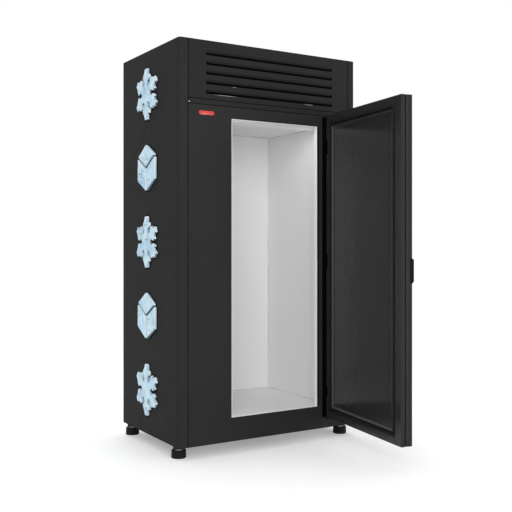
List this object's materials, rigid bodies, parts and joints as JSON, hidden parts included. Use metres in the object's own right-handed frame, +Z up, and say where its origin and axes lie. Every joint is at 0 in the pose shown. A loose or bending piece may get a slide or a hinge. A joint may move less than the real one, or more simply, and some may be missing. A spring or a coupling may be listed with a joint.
{
  "type": "ice merchandiser freezer",
  "caption": "Upright insulated ice merchandiser with a hinged insulated door, a louvred machine panel above it, a white ice room and round levelling feet.",
  "frame": {"origin": "on the floor, under the middle of the whole object's box with its door open", "axes": "+Z up, front faces -Y, +X to the right as seen from the front"},
  "size_m": [1.096, 1.4802, 2.1],
  "materials": {
    "body_paint": "satin",
    "galvanised_steel": "satin",
    "white_sheet": "satin",
    "opal_diffuser": "matte",
    "foam": "matte",
    "copper": "satin",
    "aluminium": "satin",
    "black_enamel": "satin",
    "black_plastic": "satin",
    "rubber": "matte",
    "zinc_steel": "satin",
    "ice_sign": "gloss",
    "red_plate": "gloss"
  },
  "bodies": {
    "cabinet": {"left_side_panel": "body_paint", "right_side_panel": "body_paint", "left_front_post": "body_paint", "right_front_post": "body_paint", "top_panel": "body_paint", "base_panel": "body_paint", "front_fascia": "body_paint", "hinge_jamb_plate": "body_paint", "cross_rail": "body_paint", "louvre_panel": "body_paint", "upper_hinge_bracket": "body_paint", "lower_hinge_bracket": "body_paint", "front_left_foot_sleeve": "body_paint", "front_right_foot_sleeve": "body_paint", "rear_left_foot_sleeve": "body_paint", "rear_right_foot_sleeve": "body_paint", "back_panel": "galvanised_steel", "rear_grille": "galvanised_steel", "machine_deck": "galvanised_steel", "breaker_strip_left": "white_sheet", "breaker_strip_right": "white_sheet", "breaker_strip_head": "white_sheet", "breaker_strip_sill": "white_sheet", "inner_liner": "white_sheet", "liner_front_left": "white_sheet", "liner_front_right": "white_sheet", "liner_head": "white_sheet", "lamp_housing": "white_sheet", "lamp_diffuser": "opal_diffuser", "insulation_foam": "foam", "evaporator_coil": "copper", "filter_drier": "copper", "discharge_line": "copper", "suction_line": "copper", "compressor": "black_enamel", "condenser_coil": "black_enamel", "fan_shroud": "black_enamel", "fan_motor": "black_enamel", "control_box": "black_plastic", "cord_gland": "black_plastic", "upper_hinge_pin": "zinc_steel", "lower_hinge_pin": "zinc_steel"},
    "door": {"door_outer_pan": "body_paint", "door_edge_strip": "rubber", "door_inner_frame": "body_paint", "door_gasket": "rubber", "door_inner_panel": "body_paint", "door_foam": "foam", "door_handle": "black_plastic", "upper_hinge_bush": "black_plastic", "lower_hinge_bush": "black_plastic"},
    "condenser_fan": {"fan_blade": "aluminium"},
    "front_left_foot": {"front_left_foot_stem": "zinc_steel", "front_left_foot_pad": "black_plastic"},
    "front_right_foot": {"front_right_foot_stem": "zinc_steel", "front_right_foot_pad": "black_plastic"},
    "rear_left_foot": {"rear_left_foot_stem": "zinc_steel", "rear_left_foot_pad": "black_plastic"},
    "rear_right_foot": {"rear_right_foot_stem": "zinc_steel", "rear_right_foot_pad": "black_plastic"}
  },
  "joints": [
    {"name": "door_hinge", "type": "hinge", "parent": "cabinet", "child": "door", "pos_m": [0.373, -0.03806, 0.9525], "axis": [0, 0, 1], "range_deg": [-82, 28]},
    {"name": "condenser_fan_spin", "type": "hinge", "parent": "cabinet", "child": "condenser_fan", "pos_m": [-0.178, 0.14524, 1.8973], "axis": [0, 1, 0], "continuous": true},
    {"name": "front_left_foot_turn", "type": "hinge", "parent": "cabinet", "child": "front_left_foot", "pos_m": [-0.508, 0.09894, 0.02], "axis": [0, 0, 1], "range_deg": [-360, 360]},
    {"name": "front_right_foot_turn", "type": "hinge", "parent": "cabinet", "child": "front_right_foot", "pos_m": [0.508, 0.09894, 0.02], "axis": [0, 0, 1], "range_deg": [-360, 360]},
    {"name": "rear_left_foot_turn", "type": "hinge", "parent": "cabinet", "child": "rear_left_foot", "pos_m": [-0.508, 0.68794, 0.02], "axis": [0, 0, 1], "range_deg": [-360, 360]},
    {"name": "rear_right_foot_turn", "type": "hinge", "parent": "cabinet", "child": "rear_right_foot", "pos_m": [0.508, 0.68794, 0.02], "axis": [0, 0, 1], "range_deg": [-360, 360]}
  ]
}
